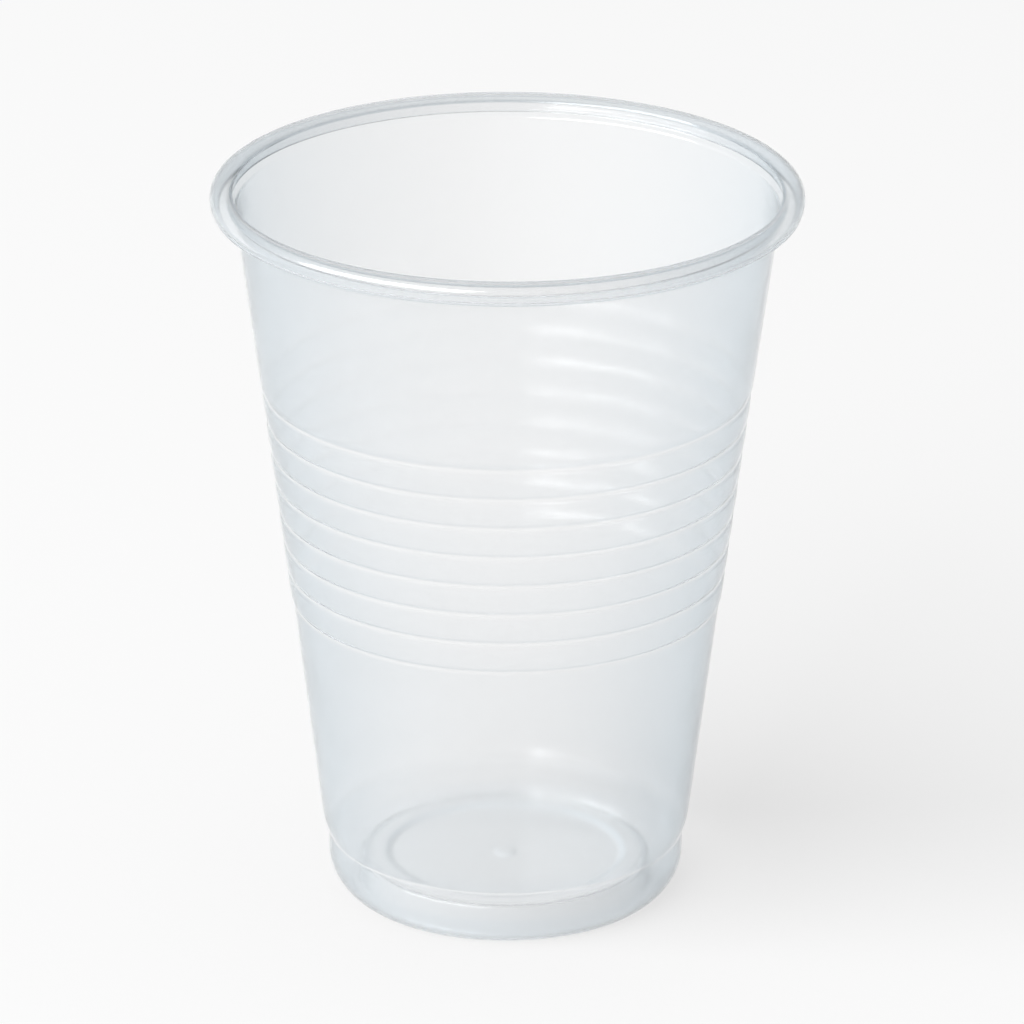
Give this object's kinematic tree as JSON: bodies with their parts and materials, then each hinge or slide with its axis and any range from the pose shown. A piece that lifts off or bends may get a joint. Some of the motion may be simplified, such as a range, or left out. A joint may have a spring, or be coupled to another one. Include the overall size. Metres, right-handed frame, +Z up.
{
  "type": "disposable cup",
  "caption": "Tapered disposable drinking cup of thin translucent plastic, with a curled rim, a band of stepped grip rings and a raised floor inside a foot ring.",
  "frame": {"origin": "centre of the foot ring, on the surface the cup stands on", "axes": "+Z up along the cup's axis, from the foot ring to the curled rim; the cup is round, so X and Y are any two level directions"},
  "size_m": [0.0702, 0.0702, 0.0892],
  "materials": {
    "sheet": "thin translucent polypropylene, smooth and slightly hazy, with a faint cold tint"
  },
  "bodies": {
    "root": {"cup": "sheet"}
  },
  "joints": []
}
